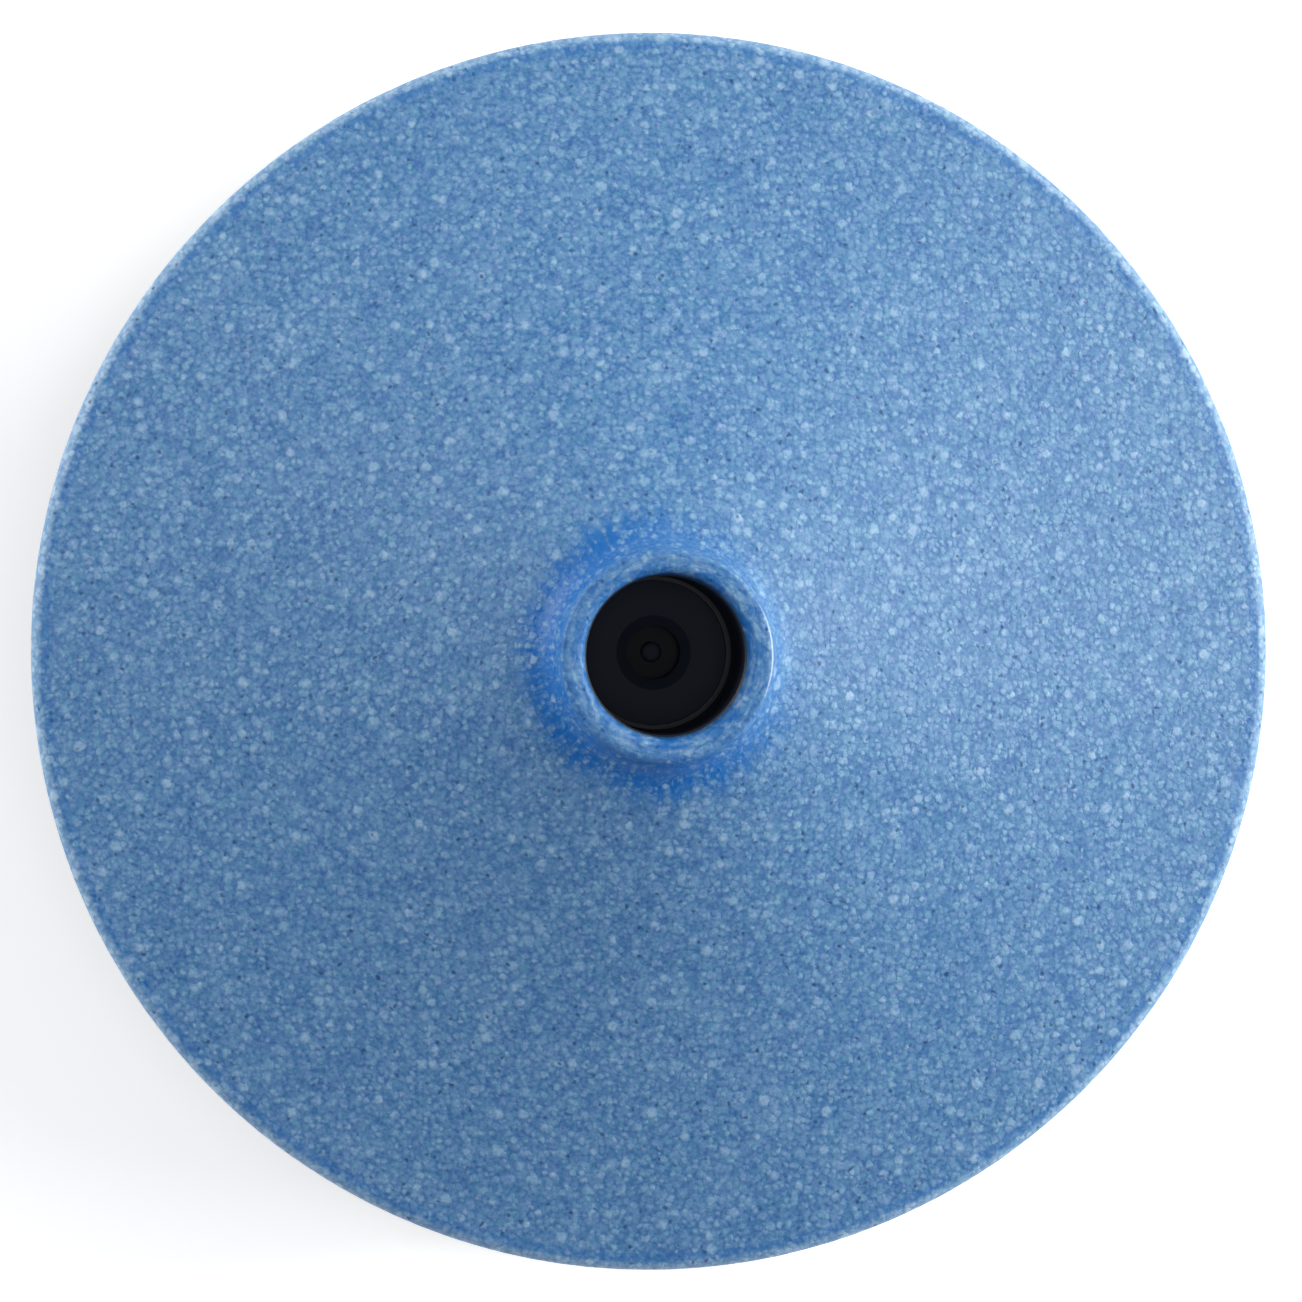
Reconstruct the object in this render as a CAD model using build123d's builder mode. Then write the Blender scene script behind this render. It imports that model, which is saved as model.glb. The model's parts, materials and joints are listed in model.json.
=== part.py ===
"""Dome air stone for ponds: a hollow cone of bonded blue grains on a weighted base.

Air comes down a hose that is pushed into the black stem at the apex. It passes a
non-return valve, leaves the stem by four side ports, fills the space under the cone
and goes out through the stone as bubbles.

Millimetres, +Z up. The origin is on the floor, under the centre of the stone.
"""

import os
from math import cos, radians, sin, sqrt

from build123d import *

os.makedirs("parts", exist_ok=True)

# ---------------------------------------------------------------- driving dimensions

# Heights of the stack, from the floor up
foot_height = 3.0
base_height = 13.5
gasket_thickness = 1.5

# Porous stone
stone_radius = 50.0
stone_wall = 6.5
rim_height = 7.5
rim_round = 1.1
rim_lower_round = 0.6
rim_slope = 16.5
apex_slope = 25.5
collar_radius = 8.5
collar_height = 2.8
collar_hollow = 3.3
collar_edge_round = 0.5
lip_radius = 6.5
lip_draft = 0.1
lip_height = 2.2
lip_round = 0.7
stone_boss_radius = 13.0
stone_boss_height = 10.3
inner_round = 1.5

# Hose and stem
socket_radius = 6.3
socket_depth = 14.5
socket_lead_in = 0.4
stem_radius = 7.3
bond_thickness = 0.45
stem_shoulder_radius = 9.2
stem_shoulder_height = 6.5
socket_ring_drop = 2.25
stem_waist_radius = 7.5
stem_flange_radius = 10.5
stem_flange_height = 1.7
shank_radius = 6.0
shank_length = 9.9
port_radius = 1.5
port_count = 4
port_height = 3.5

# Non-return valve
valve_travel = 1.6
seat_flange_radius = 5.8
seat_flange_height = 1.0
seat_barrel_radius = 5.0
seat_length = 2.8
seat_hole_radius = 2.2
seat_lip_radius = 3.0
seat_lip_height = 0.5
chamber_radius = 5.05
chamber_floor_above_flange = 0.5
poppet_radius = 3.9
poppet_thickness = 1.0
poppet_tail_radius = 1.22
poppet_tail_engagement = 2.5
poppet_stud_radius = 0.8
poppet_stud_height = 1.4
seal_radius = 3.8
seal_thickness = 0.8
guide_radius = 1.3
guide_spare_depth = 0.5
spring_wire_radius = 0.25
spring_radius = 2.4
spring_turns = 4

# Base pan
skirt_foot_radius = 47.2
skirt_top_radius = 49.0
skirt_inner_radius = 45.0
skirt_bead_radius = 0.8
bead_share = 0.28
chamber_wall_radius = 42.8
pan_floor_thickness = 2.8
locating_ring_radius = 42.9
locating_ring_wall = 1.3
locating_ring_height = 3.0
pan_rib_count = 8
pan_rib_width = 1.6
pan_rib_height = 2.0
pan_rib_gap = 1.5
pan_hole_radius = 6.2
screw_boss_radius = 3.4
screw_circle_radius = 40.4
screw_count = 4

# Cover, ballast and feet
cover_radius = 44.6
cover_thickness = 2.5
cover_groove_width = 1.2
cover_groove_depth = 0.6
cover_gasket_thickness = 0.8
cover_gasket_inner_radius = 37.0
ballast_outer_radius = 36.5
ballast_inner_radius = 14.5
ballast_thickness = 7.6
foot_radius = 6.4
foot_circle_radius = 32.0
foot_pocket_depth = 1.0
foot_count = 4

# Fasteners and rings
nut_across_flats = 19.0
nut_height = 5.5
washer_radius = 12.0
washer_thickness = 1.2
screw_head_radius = 2.9
screw_radius = 1.5
screw_length = 8.0
screw_pilot_radius = 1.25
recess_depth = 1.2
recess_width = 0.8
recess_length = 3.8
o_ring_section = 0.9
o_ring_squeeze = 0.15

# Clearances: pieces put together by hand, and pieces that fit closely
hand_gap = 0.3
close_gap = 0.05

# Edges of the moulded and turned pieces
fine_edge = 0.3
small_edge = 0.4
edge = 0.6
broad_edge = 0.8

# ---------------------------------------------------------------- derived heights

cover_top_z = foot_height + cover_thickness
ledge_z = cover_top_z + cover_gasket_thickness
pan_top_z = foot_height + base_height
pan_floor_z = pan_top_z - pan_floor_thickness
stone_bottom_z = pan_top_z + gasket_thickness
rim_top_z = stone_bottom_z + rim_height

# The cone's face is part of a ring whose section is one large arc. Its centre lies above
# the stone, so the slope eases from the collar out to the rim.
flare_radius = (stone_radius - collar_radius) / (
    sin(radians(apex_slope)) - sin(radians(rim_slope))
)
flare_centre_r = stone_radius + flare_radius * sin(radians(rim_slope))
flare_centre_z = rim_top_z + flare_radius * cos(radians(rim_slope))


def flare_height(radius, depth=0.0):
    """Height of the cone's face at a radius, or of the face that lies depth under it."""
    reach = flare_radius + depth
    return flare_centre_z - sqrt(reach**2 - (flare_centre_r - radius) ** 2)


collar_foot_z = flare_height(collar_radius)
collar_top_z = collar_foot_z + collar_height
stem_top_z = collar_top_z - lip_height
boss_bottom_z = stem_top_z - stone_boss_height
shoulder_bottom_z = boss_bottom_z - stem_shoulder_height
shoulder_top_z = shoulder_bottom_z + stem_shoulder_radius - stem_waist_radius
socket_floor_z = stem_top_z - socket_depth
flange_top_z = pan_top_z + stem_flange_height
chamber_floor_z = pan_top_z + chamber_floor_above_flange
seat_bottom_z = socket_floor_z - seat_length
poppet_top_z = seat_bottom_z - seat_lip_height - seal_thickness
poppet_bottom_z = poppet_top_z - poppet_thickness
poppet_tail_z = chamber_floor_z - poppet_tail_engagement
guide_depth = poppet_tail_engagement + valve_travel + guide_spare_depth
socket_ring_z = boss_bottom_z - socket_ring_drop
stem_ring_radius = (shank_radius + stem_flange_radius) / 2
washer_bottom_z = pan_floor_z - washer_thickness


def corner(sketch, radius, height):
    """The corner of a section that lies at this radius and height."""
    return sketch.vertices().sort_by_distance((radius, height))[0]


# ---------------------------------------------------------------- porous stone

# A shell of even thickness, with a thick boss round the stem and a lip over its end.
stone_bore_radius = stem_radius + bond_thickness
stone_inner_radius = stone_radius - stone_wall
mid_radius = (stone_radius + collar_radius) / 2
inner_mid_radius = (stone_inner_radius + stone_boss_radius) / 2

with BuildPart() as porous_stone:
    with BuildSketch(Plane.XZ) as stone_section:
        with BuildLine():
            ThreePointArc(
                (stone_radius, rim_top_z),
                (mid_radius, flare_height(mid_radius)),
                (collar_radius, collar_foot_z),
            )
            Polyline(
                (collar_radius, collar_foot_z),
                (collar_radius, collar_top_z),
                (lip_radius, collar_top_z),
                (lip_radius - lip_draft, stem_top_z),
                (stone_bore_radius, stem_top_z),
                (stone_bore_radius, boss_bottom_z),
                (stone_boss_radius, boss_bottom_z),
                (stone_boss_radius, flare_height(stone_boss_radius, stone_wall)),
            )
            ThreePointArc(
                (stone_boss_radius, flare_height(stone_boss_radius, stone_wall)),
                (inner_mid_radius, flare_height(inner_mid_radius, stone_wall)),
                (stone_inner_radius, flare_height(stone_inner_radius, stone_wall)),
            )
            Polyline(
                (stone_inner_radius, flare_height(stone_inner_radius, stone_wall)),
                (stone_inner_radius, stone_bottom_z),
                (stone_radius, stone_bottom_z),
                (stone_radius, rim_top_z),
            )
        make_face()
        fillet(corner(stone_section, stone_radius, rim_top_z), rim_round)
        fillet(corner(stone_section, stone_radius, stone_bottom_z), rim_lower_round)
        fillet(corner(stone_section, collar_radius, collar_foot_z), collar_hollow)
        fillet(corner(stone_section, collar_radius, collar_top_z), collar_edge_round)
        fillet(corner(stone_section, lip_radius, collar_top_z), lip_round)
        inner_rim_z = flare_height(stone_inner_radius, stone_wall)
        fillet(corner(stone_section, stone_inner_radius, inner_rim_z), inner_round)
    revolve(axis=Axis.Z)
porous_stone.part.label = "porous_stone"
export_step(porous_stone.part, "parts/porous_stone.step")

# ---------------------------------------------------------------- inlet stem

# One moulding: hose socket, valve chamber, flange and threaded shank (drawn plain).
with BuildPart() as inlet_stem:
    with BuildSketch(Plane.XZ) as stem_section:
        with BuildLine():
            Polyline(
                (0, pan_top_z - shank_length),
                (shank_radius, pan_top_z - shank_length),
                (shank_radius, pan_top_z),
                (stem_flange_radius, pan_top_z),
                (stem_flange_radius, flange_top_z),
                (stem_waist_radius, flange_top_z),
                (stem_waist_radius, shoulder_bottom_z),
                (stem_shoulder_radius, shoulder_top_z),
                (stem_shoulder_radius, boss_bottom_z),
                (stem_radius, boss_bottom_z),
                (stem_radius, stem_top_z),
                (0, stem_top_z),
                close=True,
            )
        make_face()
        chamfer(corner(stem_section, shank_radius, pan_top_z - shank_length), edge)
        fillet(corner(stem_section, stem_flange_radius, flange_top_z), small_edge)
        fillet(corner(stem_section, stem_waist_radius, flange_top_z), edge)
    revolve(axis=Axis.Z)
    with Locations((0, 0, stem_top_z)):
        Hole(socket_radius, depth=socket_depth)
    with Locations((0, 0, socket_floor_z)):
        Hole(seat_flange_radius + close_gap, depth=seat_flange_height)
        Hole(chamber_radius, depth=socket_floor_z - chamber_floor_z)
    with Locations((0, 0, chamber_floor_z)):
        Hole(guide_radius, depth=guide_depth)
    mouth = inlet_stem.edges().filter_by(GeomType.CIRCLE).group_by(Axis.Z)[-1]
    chamfer(mouth.sort_by(SortBy.RADIUS)[0], socket_lead_in)
    # groove for the ring that seals the hose
    with BuildSketch(Plane.XZ):
        with Locations((socket_radius + o_ring_section, socket_ring_z)):
            Rectangle(2 * o_ring_section, 2 * o_ring_section + hand_gap)
    revolve(axis=Axis.Z, mode=Mode.SUBTRACT)
    # groove in the flange's underside for the ring that seals the pan's floor
    with BuildSketch(Plane.XZ):
        with Locations((stem_ring_radius, pan_top_z + o_ring_section - o_ring_squeeze)):
            Rectangle(2 * o_ring_section + hand_gap, 2 * (o_ring_section - o_ring_squeeze))
    revolve(axis=Axis.Z, mode=Mode.SUBTRACT)
    with Locations((0, 0, flange_top_z + port_height / 2)):
        with PolarLocations(0, port_count):
            Cylinder(
                port_radius,
                2 * stem_waist_radius,
                rotation=(0, 90, 0),
                align=(Align.CENTER, Align.CENTER, Align.MIN),
                mode=Mode.SUBTRACT,
            )
inlet_stem.part.label = "inlet_stem"
export_step(inlet_stem.part, "parts/inlet_stem.step")

# The cured epoxy between the stem and the stone.
with BuildPart() as bond_sleeve:
    with BuildSketch(Plane.XY.offset(boss_bottom_z)):
        Circle(stone_bore_radius)
        Circle(stem_radius, mode=Mode.SUBTRACT)
    extrude(amount=stone_boss_height)
bond_sleeve.part.label = "bond_sleeve"
export_step(bond_sleeve.part, "parts/bond_sleeve.step")


def o_ring(centre_radius, height, half_width, half_height):
    """A rubber ring whose round section is flattened where its groove squeezes it."""
    with BuildPart() as ring:
        with BuildSketch(Plane.XZ):
            with Locations((centre_radius, height)):
                Circle(o_ring_section)
                Rectangle(2 * half_width, 2 * half_height, mode=Mode.INTERSECT)
        revolve(axis=Axis.Z)
    return ring


# The socket ring stands 0.1 mm into the bore, as it lies with a hose pushed through it.
socket_o_ring = o_ring(
    socket_radius + o_ring_section - o_ring_squeeze - close_gap,
    socket_ring_z,
    o_ring_section - close_gap,
    o_ring_section,
)
socket_o_ring.part.label = "socket_o_ring"
export_step(socket_o_ring.part, "parts/socket_o_ring.step")

stem_o_ring = o_ring(
    stem_ring_radius,
    pan_top_z + o_ring_section - o_ring_squeeze,
    o_ring_section,
    o_ring_section - o_ring_squeeze,
)
stem_o_ring.part.label = "stem_o_ring"
export_step(stem_o_ring.part, "parts/stem_o_ring.step")

# ---------------------------------------------------------------- non-return valve

# The seat drops in from the socket. Air goes down its hole and pushes the poppet off
# the flat lip at its lower end.
with BuildPart() as valve_seat:
    with BuildSketch(Plane.XZ) as seat_section:
        with BuildLine():
            Polyline(
                (seat_hole_radius, socket_floor_z),
                (seat_flange_radius, socket_floor_z),
                (seat_flange_radius, socket_floor_z - seat_flange_height),
                (seat_barrel_radius, socket_floor_z - seat_flange_height),
                (seat_barrel_radius, seat_bottom_z),
                (seat_lip_radius, seat_bottom_z),
                (seat_lip_radius, seat_bottom_z - seat_lip_height),
                (seat_hole_radius, seat_bottom_z - seat_lip_height),
                close=True,
            )
        make_face()
        chamfer(corner(seat_section, seat_hole_radius, socket_floor_z), broad_edge)
        chamfer(corner(seat_section, seat_barrel_radius, seat_bottom_z), fine_edge)
    revolve(axis=Axis.Z)
valve_seat.part.label = "valve_seat"
export_step(valve_seat.part, "parts/valve_seat.step")

# The poppet's tail slides in the guide hole under the chamber.
with BuildPart() as valve_poppet:
    with BuildSketch(Plane.XZ) as poppet_section:
        with BuildLine():
            Polyline(
                (0, poppet_tail_z),
                (poppet_tail_radius, poppet_tail_z),
                (poppet_tail_radius, poppet_bottom_z),
                (poppet_radius, poppet_bottom_z),
                (poppet_radius, poppet_top_z),
                (poppet_stud_radius, poppet_top_z),
                (poppet_stud_radius, poppet_top_z + poppet_stud_height),
                (0, poppet_top_z + poppet_stud_height),
                close=True,
            )
        make_face()
        chamfer(corner(poppet_section, poppet_tail_radius, poppet_tail_z), small_edge)
        fillet(corner(poppet_section, poppet_radius, poppet_bottom_z), fine_edge)
        stud_end_z = poppet_top_z + poppet_stud_height
        fillet(corner(poppet_section, poppet_stud_radius, stud_end_z), small_edge)
    revolve(axis=Axis.Z)
valve_poppet.part.label = "valve_poppet"
export_step(valve_poppet.part, "parts/valve_poppet.step")

with BuildPart() as poppet_seal:
    with BuildSketch(Plane.XY.offset(poppet_top_z)):
        Circle(seal_radius)
        Circle(poppet_stud_radius + close_gap, mode=Mode.SUBTRACT)
    extrude(amount=seal_thickness)
poppet_seal.part.label = "poppet_seal"
export_step(poppet_seal.part, "parts/poppet_seal.step")

spring_height = poppet_bottom_z - chamber_floor_z - 2 * (spring_wire_radius + close_gap)
with BuildPart() as valve_spring:
    with BuildLine() as coil:
        Helix(
            pitch=spring_height / spring_turns,
            height=spring_height,
            radius=spring_radius,
            center=(0, 0, chamber_floor_z + spring_wire_radius + close_gap),
        )
    with BuildSketch(Plane(origin=coil.line @ 0, z_dir=coil.line % 0)):
        Circle(spring_wire_radius)
    sweep(is_frenet=True)
valve_spring.part.label = "valve_spring"
export_step(valve_spring.part, "parts/valve_spring.step")

# ---------------------------------------------------------------- base pan

with BuildPart() as base_pan:
    with BuildSketch(Plane.XZ) as pan_section:
        with BuildLine():
            Polyline(
                (skirt_foot_radius, foot_height),
                (skirt_top_radius, pan_top_z),
                (locating_ring_radius, pan_top_z),
                (locating_ring_radius, pan_top_z + locating_ring_height),
                (locating_ring_radius - locating_ring_wall, pan_top_z + locating_ring_height),
                (locating_ring_radius - locating_ring_wall, pan_top_z),
                (pan_hole_radius, pan_top_z),
                (pan_hole_radius, pan_floor_z),
                (chamber_wall_radius, pan_floor_z),
                (chamber_wall_radius, ledge_z),
                (skirt_inner_radius, ledge_z),
                (skirt_inner_radius, foot_height),
                close=True,
            )
        make_face()
        fillet(corner(pan_section, skirt_top_radius, pan_top_z), small_edge)
        fillet(corner(pan_section, skirt_foot_radius, foot_height), broad_edge)
        ring_top_z = pan_top_z + locating_ring_height
        fillet(corner(pan_section, locating_ring_radius, ring_top_z), small_edge)
        fillet(corner(pan_section, chamber_wall_radius, pan_floor_z), broad_edge)
        # a raised bead runs round the skirt, just above its foot
        bead_r = skirt_foot_radius + bead_share * (skirt_top_radius - skirt_foot_radius)
        with Locations((bead_r, foot_height + bead_share * base_height)):
            Circle(skirt_bead_radius)
    revolve(axis=Axis.Z)
    # stiffening ribs on the floor of the air space
    rib_start = stem_flange_radius + pan_rib_gap
    rib_length = locating_ring_radius - locating_ring_wall / 2 - rib_start
    with BuildSketch(Plane.XY.offset(pan_top_z)):
        with PolarLocations(rib_start + rib_length / 2, pan_rib_count):
            Rectangle(rib_length, pan_rib_width)
    extrude(amount=pan_rib_height)
    # bosses for the cover's screws
    with BuildSketch(Plane.XY.offset(ledge_z)):
        with PolarLocations(screw_circle_radius, screw_count, start_angle=45):
            Circle(screw_boss_radius)
    extrude(amount=pan_floor_z - ledge_z)
    below_bosses = Plane(origin=(0, 0, ledge_z), z_dir=(0, 0, -1))
    with Locations(below_bosses):
        with PolarLocations(screw_circle_radius, screw_count, start_angle=45):
            Hole(screw_pilot_radius, depth=pan_floor_z - ledge_z)
base_pan.part.label = "base_pan"
export_step(base_pan.part, "parts/base_pan.step")

with BuildPart() as rim_gasket:
    with BuildSketch(Plane.XY.offset(pan_top_z)):
        Circle(skirt_top_radius - edge)
        Circle(locating_ring_radius + close_gap, mode=Mode.SUBTRACT)
    extrude(amount=gasket_thickness)
rim_gasket.part.label = "rim_gasket"
export_step(rim_gasket.part, "parts/rim_gasket.step")

# ---------------------------------------------------------------- stem's nut and washer

with BuildPart() as nut_washer:
    with BuildSketch(Plane.XY.offset(washer_bottom_z)):
        Circle(washer_radius)
        Circle(shank_radius + hand_gap, mode=Mode.SUBTRACT)
    extrude(amount=washer_thickness)
nut_washer.part.label = "nut_washer"
export_step(nut_washer.part, "parts/nut_washer.step")

# A hexagonal nut whose corners are turned off to a cone at both ends.
with BuildPart() as stem_nut:
    with BuildSketch(Plane.XY.offset(washer_bottom_z - nut_height)):
        RegularPolygon(nut_across_flats / 2, 6, major_radius=False)
        Circle(shank_radius + close_gap, mode=Mode.SUBTRACT)
    extrude(amount=nut_height)
    nut_corner_radius = nut_across_flats / sqrt(3)
    with BuildSketch(Plane.XZ):
        with BuildLine():
            Polyline(
                (0, washer_bottom_z - nut_height),
                (nut_across_flats / 2, washer_bottom_z - nut_height),
                (nut_corner_radius, washer_bottom_z - nut_height + broad_edge),
                (nut_corner_radius, washer_bottom_z - broad_edge),
                (nut_across_flats / 2, washer_bottom_z),
                (0, washer_bottom_z),
                close=True,
            )
        make_face()
    revolve(axis=Axis.Z, mode=Mode.INTERSECT)
stem_nut.part.label = "stem_nut"
export_step(stem_nut.part, "parts/stem_nut.step")

# ---------------------------------------------------------------- ballast and its cover

with BuildPart() as ballast_ring:
    with BuildSketch(Plane.XY.offset(cover_top_z)):
        Circle(ballast_outer_radius)
        Circle(ballast_inner_radius, mode=Mode.SUBTRACT)
    extrude(amount=ballast_thickness)
    chamfer(ballast_ring.edges().filter_by(GeomType.CIRCLE), edge)
ballast_ring.part.label = "ballast_ring"
export_step(ballast_ring.part, "parts/ballast_ring.step")

with BuildPart() as cover_gasket:
    with BuildSketch(Plane.XY.offset(cover_top_z)):
        Circle(cover_radius)
        Circle(cover_gasket_inner_radius, mode=Mode.SUBTRACT)
        with PolarLocations(screw_circle_radius, screw_count, start_angle=45):
            Circle(screw_radius + hand_gap, mode=Mode.SUBTRACT)
    extrude(amount=cover_gasket_thickness)
cover_gasket.part.label = "cover_gasket"
export_step(cover_gasket.part, "parts/cover_gasket.step")

below_cover = Plane(origin=(0, 0, foot_height), z_dir=(0, 0, -1))
with BuildPart() as ballast_cover:
    with BuildSketch(Plane.XY.offset(foot_height)):
        Circle(cover_radius)
    extrude(amount=cover_thickness)
    chamfer(ballast_cover.edges().group_by(Axis.Z)[0], small_edge)
    with Locations(below_cover):
        with PolarLocations(screw_circle_radius, screw_count, start_angle=45):
            CounterSinkHole(
                screw_radius + hand_gap / 2,
                screw_head_radius + hand_gap / 2,
                depth=cover_thickness,
                counter_sink_angle=90,
            )
        with PolarLocations(foot_circle_radius, foot_count):
            Hole(foot_radius + close_gap, depth=foot_pocket_depth)
    # two shallow grooves turned in the underside, inside and outside the feet
    with BuildSketch(Plane.XY.offset(foot_height)):
        for groove_radius in (foot_circle_radius / 2, foot_circle_radius / 4):
            Circle(groove_radius)
            Circle(groove_radius - cover_groove_width, mode=Mode.SUBTRACT)
    extrude(amount=cover_groove_depth, mode=Mode.SUBTRACT)
ballast_cover.part.label = "ballast_cover"
export_step(ballast_cover.part, "parts/ballast_cover.step")

# Four countersunk screws with cross recesses, drawn with plain shanks.
screw_cone_height = screw_head_radius - screw_pilot_radius
with BuildPart() as cover_screws:
    with Locations(below_cover):
        with PolarLocations(screw_circle_radius, screw_count, start_angle=45):
            Cylinder(
                screw_pilot_radius - close_gap,
                screw_length,
                align=(Align.CENTER, Align.CENTER, Align.MAX),
            )
            Cone(
                screw_pilot_radius,
                screw_head_radius,
                screw_cone_height,
                align=(Align.CENTER, Align.CENTER, Align.MAX),
            )
            Box(recess_width, recess_length, 2 * recess_depth, mode=Mode.SUBTRACT)
            Box(recess_length, recess_width, 2 * recess_depth, mode=Mode.SUBTRACT)
cover_screws.part.label = "cover_screws"
export_step(cover_screws.part, "parts/cover_screws.step")

# ---------------------------------------------------------------- rubber feet

for number in range(foot_count):
    with BuildPart() as foot:
        with BuildSketch(Plane.XY):
            with Locations(
                (
                    foot_circle_radius * cos(radians(360 * number / foot_count)),
                    foot_circle_radius * sin(radians(360 * number / foot_count)),
                )
            ):
                Circle(foot_radius)
        extrude(amount=foot_height + foot_pocket_depth)
        fillet(foot.edges().group_by(Axis.Z)[0], broad_edge)
    foot.part.label = f"foot_{number + 1}"
    export_step(foot.part, f"parts/foot_{number + 1}.step")
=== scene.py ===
"""Looks of a dome air stone: a cone of bonded blue grains on a weighted black base.

Laid out as an add-on, run as a script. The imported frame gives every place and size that
the pieces share; all lengths are metres in the frame's own axes.
"""

import json
from math import asin, atan2, cos, hypot, pi, radians, sin, sqrt

import bpy
from mathutils import Matrix, Vector


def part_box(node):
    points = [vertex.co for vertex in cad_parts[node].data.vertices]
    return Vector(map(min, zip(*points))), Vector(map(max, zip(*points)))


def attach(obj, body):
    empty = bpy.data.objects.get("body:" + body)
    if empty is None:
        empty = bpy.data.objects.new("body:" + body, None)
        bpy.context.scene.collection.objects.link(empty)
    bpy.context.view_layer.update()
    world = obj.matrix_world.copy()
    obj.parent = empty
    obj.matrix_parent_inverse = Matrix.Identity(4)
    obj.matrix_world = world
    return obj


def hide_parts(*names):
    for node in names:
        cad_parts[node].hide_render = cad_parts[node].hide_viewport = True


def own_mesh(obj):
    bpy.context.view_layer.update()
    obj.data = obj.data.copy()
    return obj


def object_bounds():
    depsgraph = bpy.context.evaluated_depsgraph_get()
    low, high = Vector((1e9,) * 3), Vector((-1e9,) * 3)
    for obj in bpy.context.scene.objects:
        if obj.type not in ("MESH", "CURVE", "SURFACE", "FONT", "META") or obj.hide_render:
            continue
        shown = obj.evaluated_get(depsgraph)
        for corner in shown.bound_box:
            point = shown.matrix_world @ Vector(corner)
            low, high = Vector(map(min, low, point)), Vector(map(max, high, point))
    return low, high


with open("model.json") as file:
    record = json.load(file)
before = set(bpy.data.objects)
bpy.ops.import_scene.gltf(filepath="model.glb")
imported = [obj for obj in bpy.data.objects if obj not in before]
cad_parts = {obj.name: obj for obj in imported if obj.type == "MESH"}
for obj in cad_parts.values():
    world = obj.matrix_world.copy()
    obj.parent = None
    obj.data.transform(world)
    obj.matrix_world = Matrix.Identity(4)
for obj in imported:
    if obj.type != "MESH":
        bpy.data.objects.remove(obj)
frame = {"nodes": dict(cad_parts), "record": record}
cad_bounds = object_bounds()

bl_info = {
    "name": "Dome air stone",
    "version": (1, 0, 0),
    "blender": (4, 5, 0),
    "location": "3D View > Sidebar > Air stone",
    "description": "Builds the detailed pieces, finishes and stage of a dome air stone",
    "category": "Object",
}

MM = 0.001

# Places taken from the frame
STONE_LOW, STONE_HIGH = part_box("porous_stone")
STEM_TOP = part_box("inlet_stem")[1].z
SLEEVE_LOW, SLEEVE_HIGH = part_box("bond_sleeve")
STONE_RADIUS = STONE_HIGH.x
FLOOR_Z = cad_bounds[0].z

# Points closer than this are one point, and edges blunter than this are shaded smooth
SAME_POINT = 0.001 * MM
SMOOTH_ANGLE = radians(50)

# Lamps: direction from +X and height over the table in degrees, distance, and width of the box
LAMPS = {
    "key_light": (17, 23, 1.2, 1.3),
    "fill_light": (155, 14, 1.0, 0.6),
    "top_light": (0, 90, 1.2, 0.3),
    "edge_light": (3, 24, 0.9, 0.12),
}
FLOOR_RADIUS = 1.6
# the table lies this far under the feet, so that the two never share a plane
FLOOR_GAP = 0.01 * MM
# the camera aims a hair off the axis, and the stone fills this share of the view's width
AIM_X = -0.07 * MM
AIM_Y = 0.09 * MM
VIEW_SHARE = 0.952


# ------------------------------------------------------------------ settings


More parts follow.
